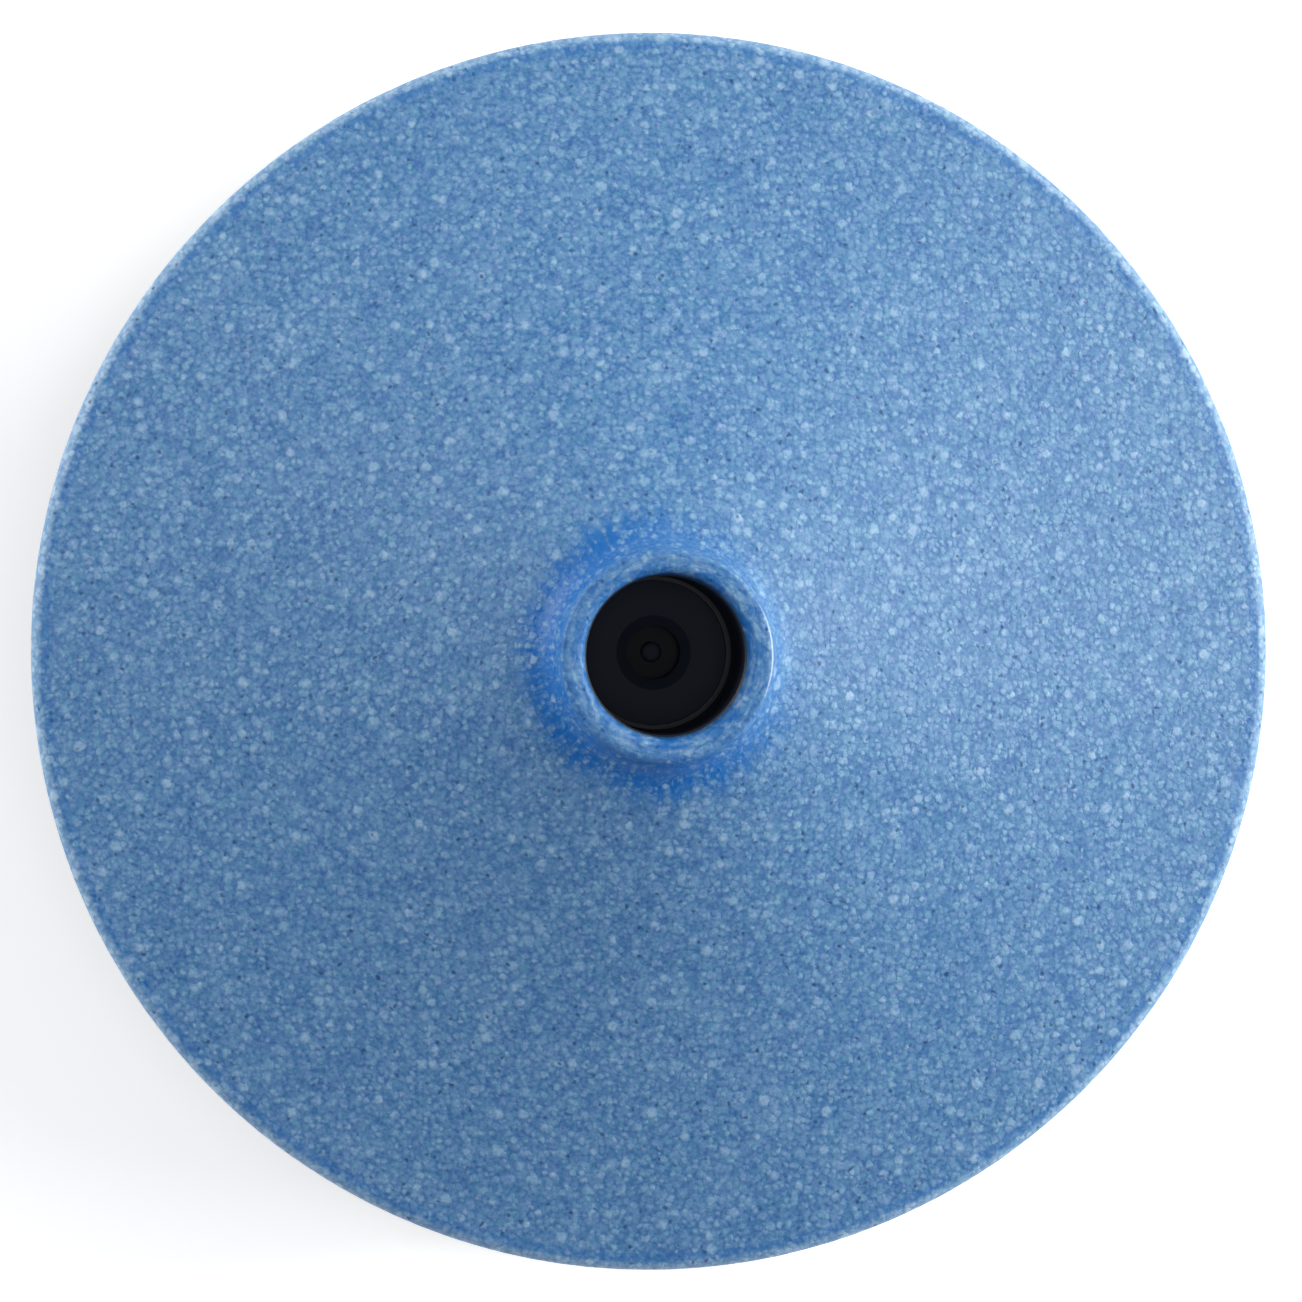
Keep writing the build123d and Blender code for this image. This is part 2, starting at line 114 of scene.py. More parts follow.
class StoneSettings(bpy.types.PropertyGroup):
    """Sizes and colours of the porous stone, and sizes of the spring."""

    rim_height: bpy.props.FloatProperty(
        name="Rim height",
        description="Height of the straight wall round the foot of the cone",
        default=7.5 * MM,
        unit="LENGTH",
    )
    rim_round: bpy.props.FloatProperty(
        name="Rim rounding",
        description="Radius of the edge between the cone and the rim's wall",
        default=1.1 * MM,
        unit="LENGTH",
    )
    rim_slope: bpy.props.FloatProperty(
        name="Slope at the rim",
        description="Slope of the cone's face where it meets the rim",
        default=radians(16.5),
        subtype="ANGLE",
    )
    apex_slope: bpy.props.FloatProperty(
        name="Slope at the collar",
        description="Slope of the cone's face where it meets the collar",
        default=radians(25.5),
        subtype="ANGLE",
    )
    collar_radius: bpy.props.FloatProperty(
        name="Collar radius",
        description="Outer radius of the collar at the apex",
        default=8.5 * MM,
        unit="LENGTH",
    )
    collar_hollow: bpy.props.FloatProperty(
        name="Collar hollow",
        description="Radius of the hollow between the collar and the cone",
        default=3.3 * MM,
        unit="LENGTH",
    )
    lip_radius: bpy.props.FloatProperty(
        name="Lip radius",
        description="Radius of the hole in the collar's top",
        default=6.5 * MM,
        unit="LENGTH",
    )
    lip_draft: bpy.props.FloatProperty(
        name="Lip draft",
        description="How much narrower the hole in the collar is where it meets the stem",
        default=0.1 * MM,
        unit="LENGTH",
    )
    wall: bpy.props.FloatProperty(
        name="Wall",
        description="Thickness of the stone's shell",
        default=6.5 * MM,
        unit="LENGTH",
    )
    boss_radius: bpy.props.FloatProperty(
        name="Boss radius",
        description="Radius of the thick part round the stem, inside the cone",
        default=13.0 * MM,
        unit="LENGTH",
    )
    grain: bpy.props.FloatProperty(
        name="Grain pitch",
        description="Distance between neighbouring grains",
        default=0.54 * MM,
        unit="LENGTH",
        precision=5,
    )
    relief: bpy.props.FloatProperty(
        name="Grain relief",
        description="Depth of the hollows between the grains",
        default=0.03 * MM,
        unit="LENGTH",
        precision=6,
    )
    # painted shade: the collar's skin is painted thickest towards this side, away from the key
    # light
    shade_side_towards: bpy.props.FloatProperty(
        name="Pooled side",
        description="Direction, from +X, of the side where the binder lies thickest",
        default=radians(205),
        subtype="ANGLE",
    )
    binder_blue: bpy.props.StringProperty(
        name="Binder colour",
        description="sRGB hex value of the blue between the grains",
        default="#0C4C8C",
    )
    stone_blue: bpy.props.StringProperty(
        name="Stone colour",
        description="sRGB hex value of the blue that the stone has from afar",
        default="#4878AA",
    )
    grain_blue: bpy.props.StringProperty(
        name="Grain colour",
        description="sRGB hex value of a pale grain",
        default="#6A94BC",
    )
    grain_white: bpy.props.StringProperty(
        name="Palest grain colour",
        description="sRGB hex value of the palest grains",
        default="#9CBAD6",
    )
    skin_blue: bpy.props.StringProperty(
        name="Skin colour",
        description="sRGB hex value of the binder where it covers the grains",
        default="#0064B2",
    )
    spring_wire: bpy.props.FloatProperty(
        name="Spring wire",
        description="Diameter of the valve spring's wire",
        default=0.5 * MM,
        unit="LENGTH",
    )
    spring_turns: bpy.props.IntProperty(
        name="Spring turns",
        description="Number of the valve spring's turns",
        default=4,
    )


class StageSettings(bpy.types.PropertyGroup):
    """Camera and light."""

    distance: bpy.props.FloatProperty(
        name="Camera distance",
        description="Distance from the camera to the rim's level",
        default=0.78,
        unit="LENGTH",
    )
    lean: bpy.props.FloatProperty(
        name="Camera lean",
        description="Angle between the camera's line of sight and the vertical",
        default=radians(3.97),
        subtype="ANGLE",
    )
    lean_towards: bpy.props.FloatProperty(
        name="Lean direction",
        description="Direction in which the camera stands off the axis, from +X",
        default=radians(165.5),
        subtype="ANGLE",
    )
    key_power: bpy.props.FloatProperty(
        name="Key light",
        description="Power of the soft box on the upper right",
        default=22.0,
        unit="POWER",
    )
    fill_power: bpy.props.FloatProperty(
        name="Fill light",
        description="Power of the low soft box on the left",
        default=8.0,
        unit="POWER",
    )
    top_power: bpy.props.FloatProperty(
        name="Top light",
        description="Power of the small lamp overhead, which reaches down the bore",
        default=1.2,
        unit="POWER",
    )
    edge_power: bpy.props.FloatProperty(
        name="Edge light",
        description="Power of the narrow lamp on the right, which glints on the collar",
        default=2.5,
        unit="POWER",
    )
    table_light: bpy.props.FloatProperty(
        name="Table light",
        description="Glow of the opal table top, which keeps the shadow pale",
        default=0.5,
    )
    room_light: bpy.props.FloatProperty(
        name="Room light",
        description="Strength of the even light from all sides",
        default=0.27,
    )
    lamp_colour: bpy.props.StringProperty(
        name="Lamp colour",
        description="sRGB hex value of the lamps' warm white",
        default="#FFFCF4",
    )
    room_colour: bpy.props.StringProperty(
        name="Room colour",
        description="sRGB hex value of the even light's cool white",
        default="#DCE6FF",
    )
    table_colour: bpy.props.StringProperty(
        name="Table colour",
        description="sRGB hex value of the opal table top",
        default="#F8F8F8",
    )


# ------------------------------------------------------------------ tools


def linear(hex_colour):
    """An sRGB hex value such as #4A7FBF as a linear RGBA colour."""
    channels = [int(hex_colour[i : i + 2], 16) / 255 for i in (1, 3, 5)]
    return [c / 12.92 if c <= 0.04045 else ((c + 0.055) / 1.055) ** 2.4 for c in channels] + [1.0]


def add_node(tree, kind, inputs=None, **settings):
    """Adds a node with its settings; an input is given a value, or a socket to link from."""
    made = tree.nodes.new(kind)
    for name, value in settings.items():
        setattr(made, name, value)
    for name, value in (inputs or {}).items():
        if isinstance(value, bpy.types.NodeSocket):
            tree.links.new(value, made.inputs[name])
        else:
            made.inputs[name].default_value = value
    return made


def new_finish(name):
    """A material with an empty tree: (material, tree)."""
    finish = bpy.data.materials.new(name)
    finish.use_nodes = True
    finish.node_tree.nodes.clear()
    return finish, finish.node_tree


def start_piece(name, add_primitive, **size):
    """Adds a primitive with nothing else selected and names it."""
    if bpy.context.object and bpy.context.object.mode != "OBJECT":
        bpy.ops.object.mode_set(mode="OBJECT")
    bpy.ops.object.select_all(action="DESELECT")
    add_primitive(**size)
    piece = bpy.context.object
    piece.name = name
    piece.data.name = name
    return piece


def lathe(name, outline, steps):
    """Draws a closed outline of (radius, height) points by extrusion and spins it."""
    piece = start_piece(name, bpy.ops.mesh.primitive_plane_add, size=MM)
    bpy.ops.object.mode_set(mode="EDIT")
    bpy.ops.mesh.select_all(action="SELECT")
    bpy.ops.mesh.merge(type="CENTER")
    here = Vector((outline[0][0], 0, outline[0][1]))
    bpy.ops.transform.translate(value=here)
    for radius, height in list(outline[1:]) + [outline[0]]:
        there = Vector((radius, 0, height))
        bpy.ops.mesh.extrude_region_move(TRANSFORM_OT_translate={"value": there - here})
        here = there
    bpy.ops.mesh.select_all(action="SELECT")
    bpy.ops.mesh.remove_doubles(threshold=SAME_POINT)
    bpy.ops.mesh.spin(steps=steps, angle=2 * pi, center=(0, 0, 0), axis=(0, 0, 1))
    bpy.ops.mesh.select_all(action="SELECT")
    bpy.ops.mesh.remove_doubles(threshold=SAME_POINT)
    bpy.ops.mesh.normals_make_consistent(inside=False)
    bpy.ops.object.mode_set(mode="OBJECT")
    return piece


def arc(centre, radius, start, end, count):
    """Points of an arc of (radius, height), from one angle to another."""
    turns = [start + (end - start) * i / count for i in range(count + 1)]
    return [(centre[0] + radius * cos(t), centre[1] + radius * sin(t)) for t in turns]


def upright(away):
    """Turn for a camera or lamp that looks along -away, with +Y at the top of its view."""
    across = Vector((0, 1, 0)).cross(away).normalized()
    return Matrix((across, away.cross(across), away)).transposed().to_quaternion()


def give_finish(piece, finish):
    """Makes this finish the piece's only one."""
    piece.data.materials.clear()
    piece.data.materials.append(finish)


# ------------------------------------------------------------------ finishes


def bonded_grain_stone(stone):
    """Bonded grain stone: rounded glassy grains set in a clear blue binder, moulded.

    The eye sees soft pale grains of uneven brightness, blue lilac or cyan, with deeper blue
    between them and a few dark pores. On the tight curves of the collar and the rim the
    binder has run to the surface, and the skin there is a plain, stronger blue. Painted shade
    makes the collar's skin stronger on the side away from the key light. The rim's rounding
    carries a painted paler band of reflected light, and the collar's outer edge carries a
    short painted highlight.
    """
    finish, tree = new_finish("bonded_grain_stone")
    # real sizes of each part of the pattern
    drift_width = stone.grain / 1.1
    wander = 0.9 * stone.grain
    coarse_grain = stone.grain / 0.53
    grit_width = stone.grain / 1.7
    cloud_width = 4 * MM
    smear_width = 0.55 * MM
    smear_sweep = 3 * MM
    smear_reach = 2.0 * MM
    run_reach = 4.5 * MM
    pore_spacing = 1.3 * MM
    # how much each part counts in how pale a spot is
    grit_weight = 2.2
    cloud_weight = 0.6
    smear_share = 0.6
    # painted light: how much paler the rim's rounding is painted
    rim_light_gain = 0.28
    # how thick the binder's skin lies on each part
    lip_skin = 0.35
    collar_skin = 0.3
    rim_skin_share = 0.3

    place = add_node(tree, "ShaderNodeTexCoord").outputs["Object"]

    # distance from the axis, and direction round it
    split = add_node(tree, "ShaderNodeSeparateXYZ", {"Vector": place}).outputs
    flat = add_node(
        tree, "ShaderNodeCombineXYZ", {"X": split["X"], "Y": split["Y"]}
    ).outputs["Vector"]
    radius = add_node(
        tree, "ShaderNodeVectorMath", {"Vector": flat}, operation="LENGTH"
    ).outputs["Value"]
    around = add_node(
        tree, "ShaderNodeVectorMath", {"Vector": flat}, operation="NORMALIZE"
    ).outputs["Vector"]

    # grain outlines wander, so that no cell has straight sides
    drift = add_node(
        tree,
        "ShaderNodeTexNoise",
        {"Vector": place, "Scale": 1 / drift_width, "Detail": 2.0},
    ).outputs["Color"]
    moved = add_node(
        tree,
        "ShaderNodeVectorMath",
        {0: drift, 1: (wander, wander, wander), 2: place},
        operation="MULTIPLY_ADD",
    ).outputs["Vector"]
    grains = add_node(
        tree, "ShaderNodeTexVoronoi", {"Vector": moved, "Scale": 1 / stone.grain}
    ).outputs
    own = add_node(tree, "ShaderNodeSeparateColor", {"Color": grains["Color"]}).outputs
    reach = add_node(
        tree, "ShaderNodeMapRange", {"Value": own["Red"], "To Min": 0.55, "To Max": 1.0}
    ).outputs["Result"]
    across = add_node(
        tree, "ShaderNodeMath", {0: grains["Distance"], 1: reach}, operation="DIVIDE"
    ).outputs["Value"]
    clear = add_node(
        tree, "ShaderNodeMapRange", {"Value": own["Green"], "To Min": 0.4, "To Max": 1.2}
    ).outputs["Result"]
    pale = add_node(
        tree,
        "ShaderNodeMapRange",
        {"Value": across, "From Min": 1.0, "From Max": 0.25, "To Max": clear},
        interpolation_type="SMOOTHSTEP",
    ).outputs["Result"]

    # grains nearly twice as wide lie among them, and a few of those are nearly white
    big = add_node(
        tree, "ShaderNodeTexVoronoi", {"Vector": moved, "Scale": 1 / coarse_grain}
    ).outputs
    big_own = add_node(tree, "ShaderNodeSeparateColor", {"Color": big["Color"]}).outputs
    big_reach = add_node(
        tree, "ShaderNodeMapRange", {"Value": big_own["Red"], "To Min": 0.35, "To Max": 0.75}
    ).outputs["Result"]
    big_across = add_node(
        tree, "ShaderNodeMath", {0: big["Distance"], 1: big_reach}, operation="DIVIDE"
    ).outputs["Value"]
    big_clear = add_node(
        tree,
        "ShaderNodeMapRange",
        {"Value": big_own["Green"], "From Min": 0.1, "From Max": 1.0, "To Max": 1.6},
    ).outputs["Result"]
    big_pale = add_node(
        tree,
        "ShaderNodeMapRange",
        {"Value": big_across, "From Min": 1.0, "From Max": 0.3, "To Max": big_clear},
        interpolation_type="SMOOTHSTEP",
    ).outputs["Result"]
    lit = add_node(
        tree, "ShaderNodeMath", {0: pale, 1: big_pale}, operation="MAXIMUM"
    ).outputs["Value"]

    # grit finer than the grains, and clouds where the mix was richer
    grit = add_node(
        tree,
        "ShaderNodeTexNoise",
        {"Vector": place, "Scale": 1 / grit_width, "Detail": 2.0},
    ).outputs["Fac"]
    cloud = add_node(
        tree, "ShaderNodeTexNoise", {"Vector": place, "Scale": 1 / cloud_width, "Detail": 3.0}
    ).outputs["Fac"]
    with_grit = add_node(
        tree, "ShaderNodeMath", {0: grit, 1: grit_weight, 2: lit}, operation="MULTIPLY_ADD"
    ).outputs["Value"]
    with_cloud = add_node(
        tree,
        "ShaderNodeMath",
        {0: cloud, 1: cloud_weight, 2: with_grit},
        operation="MULTIPLY_ADD",
    ).outputs["Value"]
    paleness = add_node(
        tree,
        "ShaderNodeMapRange",
        {"Value": with_cloud, "From Min": 0.5, "From Max": 3.5},
    ).outputs["Result"]

    # on the collar the mould dragged the pale grains into short streaks round the axis
    sweep = add_node(
        tree,
        "ShaderNodeVectorMath",
        {0: around, 1: (smear_sweep, smear_sweep, smear_sweep)},
        operation="MULTIPLY",
    ).outputs["Vector"]
    raised = add_node(tree, "ShaderNodeCombineXYZ", {"Z": radius}).outputs["Vector"]
    dragged = add_node(
        tree, "ShaderNodeVectorMath", {0: sweep, 1: raised}, operation="ADD"
    ).outputs["Vector"]
    smear = add_node(
        tree,
        "ShaderNodeTexNoise",
        {"Vector": dragged, "Scale": 1 / smear_width, "Detail": 3.0, "Distortion": 0.6},
    ).outputs["Fac"]
    smear_pale = add_node(
        tree,
        "ShaderNodeMapRange",
        {"Value": smear, "From Min": 0.34, "From Max": 0.7},
    ).outputs["Result"]
    collar_edge = add_node(
        tree,
        "ShaderNodeMath",
        {0: smear, 1: smear_reach, 2: radius},
        operation="MULTIPLY_ADD",
    ).outputs["Value"]
    on_collar = add_node(
        tree,
        "ShaderNodeMapRange",
        {
            "Value": collar_edge,
            "From Min": stone.collar_radius + 1.3 * MM,
            "From Max": stone.collar_radius + 0.3 * MM,
        },
    ).outputs["Result"]
    drag_share = add_node(
        tree, "ShaderNodeMath", {0: on_collar, 1: smear_share}, operation="MULTIPLY"
    ).outputs["Value"]
    blended = add_node(
        tree, "ShaderNodeMix", {"Factor": drag_share, "A": paleness, "B": smear_pale}
    ).outputs["Result"]
    # painted light: the rim's rounding is painted paler all round, standing in for light reflected
    # from the white table and room, but not the wall below it
    rim_top = STONE_LOW.z + stone.rim_height
    above_wall = add_node(
        tree,
        "ShaderNodeMapRange",
        {
            "Value": split["Z"],
            "From Min": rim_top - 1.4 * MM,
            "From Max": rim_top - 0.9 * MM,
            "To Max": rim_light_gain,
        },
    ).outputs["Result"]
    painted_rim_light = add_node(
        tree,
        "ShaderNodeMapRange",
        {
            "Value": radius,
            "From Min": STONE_RADIUS - 0.9 * MM,
            "From Max": STONE_RADIUS - 0.5 * MM,
            "To Max": above_wall,
        },
    ).outputs["Result"]
    shown = add_node(
        tree, "ShaderNodeMath", {0: blended, 1: painted_rim_light}, operation="ADD"
    ).outputs["Value"]

    # dark pores, 0.2 to 0.5 mm wide
    pores = add_node(
        tree, "ShaderNodeTexVoronoi", {"Vector": moved, "Scale": 1 / pore_spacing}
    ).outputs
    pore = add_node(
        tree,
        "ShaderNodeMapRange",
        {"Value": pores["Distance"], "From Min": 0.18, "From Max": 0.06, "To Max": 0.75},
    ).outputs["Result"]

    # the binder's skin: over the hollow of the collar, inside the lip and at the rim
    # about 120 runs of it go round the axis, each 0.6 mm wide at the hollow
    turn = 12.0
    run_scale = 1.6
    streak_place = add_node(
        tree,
        "ShaderNodeVectorMath",
        {0: around, 1: (turn, turn, turn), 2: place},
        operation="MULTIPLY_ADD",
    ).outputs["Vector"]
    streak = add_node(
        tree, "ShaderNodeTexNoise", {"Vector": streak_place, "Scale": run_scale, "Detail": 3.0}
    ).outputs["Fac"]
    ragged = add_node(
        tree,
        "ShaderNodeMath",
        {0: streak, 1: run_reach, 2: radius},
        operation="MULTIPLY_ADD",
    ).outputs["Value"]
    hollow_in = add_node(
        tree,
        "ShaderNodeMapRange",
        {
            "Value": collar_edge,
            "From Min": stone.collar_radius,
            "From Max": stone.collar_radius + 1.4 * MM,
        },
    ).outputs["Result"]
    hollow_out = add_node(
        tree,
        "ShaderNodeMapRange",
        {
            "Value": ragged,
            "From Min": stone.collar_radius + 6.2 * MM,
            "From Max": stone.collar_radius + 3.6 * MM,
        },
        interpolation_type="SMOOTHSTEP",
    ).outputs["Result"]
    # the skin over the hollow is real binder, but its strength round the axis is painted shade:
    # thickest on the side away from the key light, thin on the lit side
    shade_side = add_node(
        tree,
        "ShaderNodeVectorMath",
        {0: around, 1: (cos(stone.shade_side_towards), sin(stone.shade_side_towards), 0.0)},
        operation="DOT_PRODUCT",
    ).outputs["Value"]
    painted_shade_share = add_node(
        tree,
        "ShaderNodeMapRange",
        {"Value": shade_side, "From Min": -1.0, "From Max": 0.2, "To Min": 0.15, "To Max": 1.0},
    ).outputs["Result"]
    hollow_all = add_node(
        tree, "ShaderNodeMath", {0: hollow_in, 1: hollow_out}, operation="MULTIPLY"
    ).outputs["Value"]
    hollow = add_node(
        tree, "ShaderNodeMath", {0: hollow_all, 1: painted_shade_share}, operation="MULTIPLY"
    ).outputs["Value"]
    # the palest grains and the runs of the binder show through it
    thin = add_node(
        tree, "ShaderNodeMath", {0: streak, 1: shown}, operation="ADD"
    ).outputs["Value"]
    covering = add_node(
        tree,
        "ShaderNodeMapRange",
        {"Value": thin, "From Min": 0.85, "From Max": 1.35, "To Min": 1.0, "To Max": 0.2},
    ).outputs["Result"]
    # it lines the lip, and tints the whole collar a little
    lip = add_node(
        tree,
        "ShaderNodeMapRange",
        {
            "Value": collar_edge,
            "From Min": stone.lip_radius + 2.2 * MM,
            "From Max": stone.lip_radius + 1.2 * MM,
            "To Max": lip_skin,
        },
    ).outputs["Result"]
    collar_tint = add_node(
        tree,
        "ShaderNodeMath",
        {0: on_collar, 1: collar_skin, 2: lip},
        operation="MULTIPLY_ADD",
    ).outputs["Value"]
    skin_hollow = add_node(
        tree, "ShaderNodeMath", {0: hollow, 1: collar_tint}, operation="MAXIMUM"
    ).outputs["Value"]
    rim_line = add_node(
        tree,
        "ShaderNodeMath",
        {0: radius, 1: STONE_RADIUS - stone.rim_round, 2: 0.35 * MM},
        operation="COMPARE",
    ).outputs["Value"]
    rim_skin = add_node(
        tree, "ShaderNodeMath", {0: rim_line, 1: rim_skin_share}, operation="MULTIPLY"
    ).outputs["Value"]
    skin_all = add_node(
        tree, "ShaderNodeMath", {0: skin_hollow, 1: rim_skin}, operation="MAXIMUM"
    ).outputs["Value"]
    skin = add_node(
        tree, "ShaderNodeMath", {0: skin_all, 1: covering}, operation="MULTIPLY"
    ).outputs["Value"]

    # from the binder between the grains to the palest grain
    ramp = add_node(tree, "ShaderNodeValToRGB", {"Fac": shown})
    shades = ramp.color_ramp.elements
    stone_stop, grain_stop = 0.3, 0.6
    for stop in (stone_stop, grain_stop):
        shades.new(stop)
    blues = (stone.binder_blue, stone.stone_blue, stone.grain_blue, stone.grain_white)
    for shade, blue in zip(shades, blues):
        shade.color = linear(blue)
    # each grain leans a little towards lilac or cyan
    lean = add_node(
        tree, "ShaderNodeMapRange", {"Value": own["Blue"], "To Min": 0.492, "To Max": 0.507}
    ).outputs["Result"]
    tinted = add_node(
        tree, "ShaderNodeHueSaturation", {"Hue": lean, "Color": ramp.outputs["Color"]}
    ).outputs["Color"]
    porous = add_node(
        tree,
        "ShaderNodeMix",
        {"Factor": pore, "A": tinted, "B": linear("#163E70")},
        data_type="RGBA",
    ).outputs["Result"]
    skinned = add_node(
        tree,
        "ShaderNodeMix",
        {"Factor": skin, "A": porous, "B": linear(stone.skin_blue)},
        data_type="RGBA",
    ).outputs["Result"]

    # painted highlight: a thin pale arc on the collar's outer edge, only on the side that faces the
    # key and edge lights
    line = add_node(
        tree,
        "ShaderNodeMath",
        {0: radius, 1: stone.collar_radius - 0.2 * MM, 2: 0.06 * MM},
        operation="COMPARE",
    ).outputs["Value"]
    glint_side = add_node(
        tree,
        "ShaderNodeVectorMath",
        {0: around, 1: (1.0, 0.05, 0.0)},
        operation="DOT_PRODUCT",
    ).outputs["Value"]
    glint_share = add_node(
        tree,
        "ShaderNodeMapRange",
        {"Value": glint_side, "From Min": 0.88, "From Max": 0.98, "To Max": 0.6},
    ).outputs["Result"]
    painted_glint = add_node(
        tree, "ShaderNodeMath", {0: line, 1: glint_share}, operation="MULTIPLY"
    ).outputs["Value"]
    face = add_node(
        tree,
        "ShaderNodeMix",
        {"Factor": painted_glint, "A": skinned, "B": linear("#C8D8E6")},
        data_type="RGBA",
    ).outputs["Result"]

    # grains stand out, pores go in, and the skin is a little glossier
    height = add_node(
        tree, "ShaderNodeMath", {0: lit, 1: pore}, operation="SUBTRACT"
    ).outputs["Value"]
    relief = add_node(
        tree,
        "ShaderNodeBump",
        {"Height": height, "Distance": 1.6 * stone.relief, "Strength": 0.8},
    ).outputs["Normal"]
    gloss = add_node(
        tree, "ShaderNodeMapRange", {"Value": skin, "To Min": 0.5, "To Max": 0.42}
    ).outputs["Result"]
    shader = add_node(
        tree,
        "ShaderNodeBsdfPrincipled",
        {"Base Color": face, "Roughness": gloss, "IOR": 1.4, "Normal": relief},
    )
    add_node(tree, "ShaderNodeOutputMaterial", {"Surface": shader.outputs["BSDF"]})
    return finish


def moulded_abs():
    """Black ABS, moulded in a spark-eroded tool: an even, fine, slightly soft-edged grain."""
    finish, tree = new_finish("moulded_abs")
    place = add_node(tree, "ShaderNodeTexCoord").outputs["Object"]
    # spark texture is about 0.15 mm across, drawn at 0.35 mm so that it shows
    spark = add_node(
        tree, "ShaderNodeTexNoise", {"Vector": place, "Scale": 1 / (0.35 * MM), "Detail": 2.0}
    ).outputs["Fac"]
    # handling has polished patches about 14 mm across
    wear = add_node(
        tree, "ShaderNodeTexNoise", {"Vector": place, "Scale": 1 / (14 * MM), "Detail": 5.0}
    ).outputs["Fac"]
    sheen = add_node(
        tree, "ShaderNodeMapRange", {"Value": wear, "To Min": 0.38, "To Max": 0.62}
    ).outputs["Result"]
    colour = add_node(
        tree,
        "ShaderNodeMix",
        {"Factor": wear, "A": linear("#191B1F"), "B": linear("#24272B")},
        data_type="RGBA",
    ).outputs["Result"]
    relief = add_node(
        tree, "ShaderNodeBump", {"Height": spark, "Distance": 0.03 * MM, "Strength": 0.7}
    ).outputs["Normal"]
    shader = add_node(
        tree,
        "ShaderNodeBsdfPrincipled",
        {"Base Color": colour, "Roughness": sheen, "IOR": 1.54, "Normal": relief},
    )
    add_node(tree, "ShaderNodeOutputMaterial", {"Surface": shader.outputs["BSDF"]})
    return finish


def smooth_abs():
    """Black ABS, moulded on a polished core pin: smooth, with faint draw marks along it."""
    finish, tree = new_finish("smooth_abs")
    place = add_node(tree, "ShaderNodeTexCoord").outputs["Object"]
    # draw marks are 0.03 mm wide, drawn at 0.3 mm across and 4 mm long so that they show
    mark_width, mark_length = 0.3, 4.0
    stretched = add_node(
        tree,
        "ShaderNodeMapping",
        {"Vector": place, "Scale": (1 / mark_width, 1 / mark_width, 1 / mark_length)},
    ).outputs["Vector"]
    marks = add_node(
        tree, "ShaderNodeTexNoise", {"Vector": stretched, "Scale": 1 / MM, "Detail": 3.0}
    ).outputs["Fac"]
    sheen = add_node(
        tree, "ShaderNodeMapRange", {"Value": marks, "To Min": 0.42, "To Max": 0.6}
    ).outputs["Result"]
    colour = add_node(
        tree,
        "ShaderNodeMix",
        {"Factor": marks, "A": linear("#1E2431"), "B": linear("#252C3A")},
        data_type="RGBA",
    ).outputs["Result"]
    shader = add_node(
        tree,
        "ShaderNodeBsdfPrincipled",
        {"Base Color": colour, "Roughness": sheen, "IOR": 1.54},
    )
    add_node(tree, "ShaderNodeOutputMaterial", {"Surface": shader.outputs["BSDF"]})
    return finish


def smooth_acetal():
    """Black acetal, moulded in a blasted tool: dull and waxy, with soft flow marks."""
    finish, tree = new_finish("smooth_acetal")
    place = add_node(tree, "ShaderNodeTexCoord").outputs["Object"]
    # flow marks lie about 3 mm apart
    flow = add_node(
        tree, "ShaderNodeTexNoise", {"Vector": place, "Scale": 1 / (3 * MM), "Detail": 3.0}
    ).outputs["Fac"]
    sheen = add_node(
        tree, "ShaderNodeMapRange", {"Value": flow, "To Min": 0.66, "To Max": 0.8}
    ).outputs["Result"]
    colour = add_node(
        tree,
        "ShaderNodeMix",
        {"Factor": flow, "A": linear("#283040"), "B": linear("#2E3748")},
        data_type="RGBA",
    ).outputs["Result"]
    shader = add_node(
        tree,
        "ShaderNodeBsdfPrincipled",
        {"Base Color": colour, "Roughness": sheen, "IOR": 1.48},
    )
    add_node(tree, "ShaderNodeOutputMaterial", {"Surface": shader.outputs["BSDF"]})
    return finish


def moulded_rubber():
    """Black nitrile rubber, press moulded: matt, with a faint dusty bloom."""
    finish, tree = new_finish("moulded_rubber")
    place = add_node(tree, "ShaderNodeTexCoord").outputs["Object"]
    # bloom comes out in patches about 2 mm across
    bloom = add_node(
        tree, "ShaderNodeTexNoise", {"Vector": place, "Scale": 1 / (2.2 * MM), "Detail": 6.0}
    ).outputs["Fac"]
    colour = add_node(
        tree,
        "ShaderNodeMix",
        {"Factor": bloom, "A": linear("#1A1D22"), "B": linear("#2A2E34")},
        data_type="RGBA",
    ).outputs["Result"]
    relief = add_node(
        tree, "ShaderNodeBump", {"Height": bloom, "Distance": 0.04 * MM, "Strength": 0.5}
    ).outputs["Normal"]
    shader = add_node(
        tree,
        "ShaderNodeBsdfPrincipled",
        {"Base Color": colour, "Roughness": 0.78, "IOR": 1.52, "Normal": relief},
    )
    add_node(tree, "ShaderNodeOutputMaterial", {"Surface": shader.outputs["BSDF"]})
    return finish


def stainless_steel():
    """Stainless steel, tumbled after forming: satin, with a fine unevenness in its shine."""
    finish, tree = new_finish("stainless_steel")
    place = add_node(tree, "ShaderNodeTexCoord").outputs["Object"]
    # dents of tumbling are 0.1 mm wide, drawn at 0.4 mm so that they show
    grain = add_node(
        tree, "ShaderNodeTexNoise", {"Vector": place, "Scale": 1 / (0.4 * MM), "Detail": 3.0}
    ).outputs["Fac"]
    sheen = add_node(
        tree, "ShaderNodeMapRange", {"Value": grain, "To Min": 0.26, "To Max": 0.42}
    ).outputs["Result"]
    shader = add_node(
        tree,
        "ShaderNodeBsdfPrincipled",
        {"Base Color": linear("#C9C8C4"), "Metallic": 1.0, "Roughness": sheen},
    )
    add_node(tree, "ShaderNodeOutputMaterial", {"Surface": shader.outputs["BSDF"]})
    return finish


